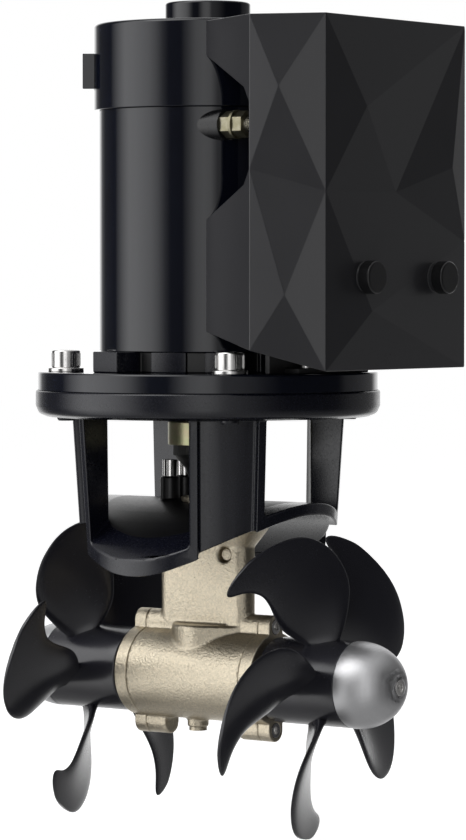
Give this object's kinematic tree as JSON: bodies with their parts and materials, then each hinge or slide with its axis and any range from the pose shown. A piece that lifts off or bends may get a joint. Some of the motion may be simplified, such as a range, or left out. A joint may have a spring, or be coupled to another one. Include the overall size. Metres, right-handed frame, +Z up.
{
  "type": "bow thruster",
  "caption": "Electric tunnel thruster: upright motor with relay box on a windowed flange support, gear leg below with a propeller and domed anode at each end.",
  "frame": {"origin": "where the upright motor axis crosses the propeller axis, which is the tunnel's axis", "axes": "+Z up along the motor axis, +X along the tunnel and propeller shaft towards the relay box, +Y across the tunnel"},
  "size_m": [0.2704, 0.1942, 0.4669],
  "materials": {
    "bearing_steel": "ground bearing steel",
    "bracket_steel": "black powder coat on folded sheet",
    "brass_parts": "pressed brass",
    "bronze": "blasted cast bronze, pale champagne",
    "carbon": "pressed carbon",
    "cast_black": "satin black paint on an aluminium casting",
    "copper": "copper wire and segments",
    "coupling_black": "blackened steel",
    "cover_plastic": "matt black moulded plastic",
    "ferrite": "ferrite magnet",
    "flange_black": "satin black anodised plate, turned edge",
    "insulator": "phenolic moulding",
    "knob_plastic": "satin black moulded plastic",
    "motor_paint": "gloss black enamel on a steel tube",
    "olive_zinc": "yellow passivated zinc plate",
    "propeller_plastic": "satin black glass-filled plastic",
    "seal_rubber": "nitrile rubber",
    "shaft_steel": "ground steel",
    "spider_rubber": "hard elastomer",
    "stainless": "polished stainless steel",
    "zinc_anode": "satin turned zinc",
    "zinc_plate": "zinc plated steel"
  },
  "bodies": {
    "root": {"motor_housing": "motor_paint", "drive_end_shield": "cast_black", "field_magnets": "ferrite", "brush_plate": "insulator", "brush_holders": "brass_parts", "carbon_brushes": "carbon", "brush_cover": "motor_paint", "bearing_cap": "motor_paint", "band_clasp": "motor_paint", "motor_bearings": "bearing_steel", "terminal_studs": "zinc_plate", "terminal_insulators": "insulator", "terminal_nuts": "zinc_plate", "terminal_washers": "zinc_plate", "motor_flange": "flange_black", "flange_bolts": "stainless", "flange_washers": "stainless", "support_bell": "cast_black", "saddle_bolts": "stainless", "gear_leg": "bronze", "needle_bearing": "bearing_steel", "leg_bearing": "bearing_steel", "leg_seal": "seal_rubber", "end_cap_starboard": "bronze", "end_cap_port": "bronze", "end_cap_screws": "stainless", "shaft_bearings": "bearing_steel", "shaft_seals": "seal_rubber", "oil_plug": "bronze", "leg_plug": "bronze", "relay_cover": "cover_plastic", "relay_bracket": "bracket_steel", "bracket_screws": "stainless", "cover_studs": "zinc_plate", "contactor_base": "insulator", "contactor_coils": "bearing_steel", "contactor_caps": "insulator", "contactor_studs": "brass_parts"},
    "drive_line": {"armature_core": "bearing_steel", "armature_windings": "copper", "commutator": "copper", "motor_shaft": "shaft_steel", "upper_coupling": "olive_zinc", "coupling_spider": "spider_rubber", "lower_coupling": "coupling_black", "drive_shaft": "shaft_steel", "bevel_pinion": "shaft_steel"},
    "propeller_line": {"propeller_shaft": "stainless", "crown_gear": "shaft_steel", "drive_pins": "stainless", "starboard_propeller": "propeller_plastic", "port_propeller": "propeller_plastic", "propeller_washers": "stainless", "propeller_nuts": "stainless", "starboard_anode": "zinc_anode", "port_anode": "zinc_anode", "anode_screws": "stainless"},
    "knob_fore": {"cover_knob_fore": "knob_plastic"},
    "knob_aft": {"cover_knob_aft": "knob_plastic"}
  },
  "joints": [
    {"name": "drive_spin", "type": "hinge", "parent": "root", "child": "drive_line", "pos_m": [0, 0, 0.2], "axis": [0, 0, 1], "continuous": true},
    {"name": "propeller_spin", "type": "hinge", "parent": "root", "child": "propeller_line", "pos_m": [0, 0, 0], "axis": [1, 0, 0], "continuous": true},
    {"name": "knob_fore_turn", "type": "hinge", "parent": "root", "child": "knob_fore", "pos_m": [0.1326, -0.0355, 0.224], "axis": [1, 0, 0], "continuous": true},
    {"name": "knob_aft_turn", "type": "hinge", "parent": "root", "child": "knob_aft", "pos_m": [0.1326, 0.0355, 0.224], "axis": [1, 0, 0], "continuous": true}
  ],
  "couplings": [
    {"joint": "propeller_spin", "follows": "drive_spin", "ratio": 0.5}
  ]
}
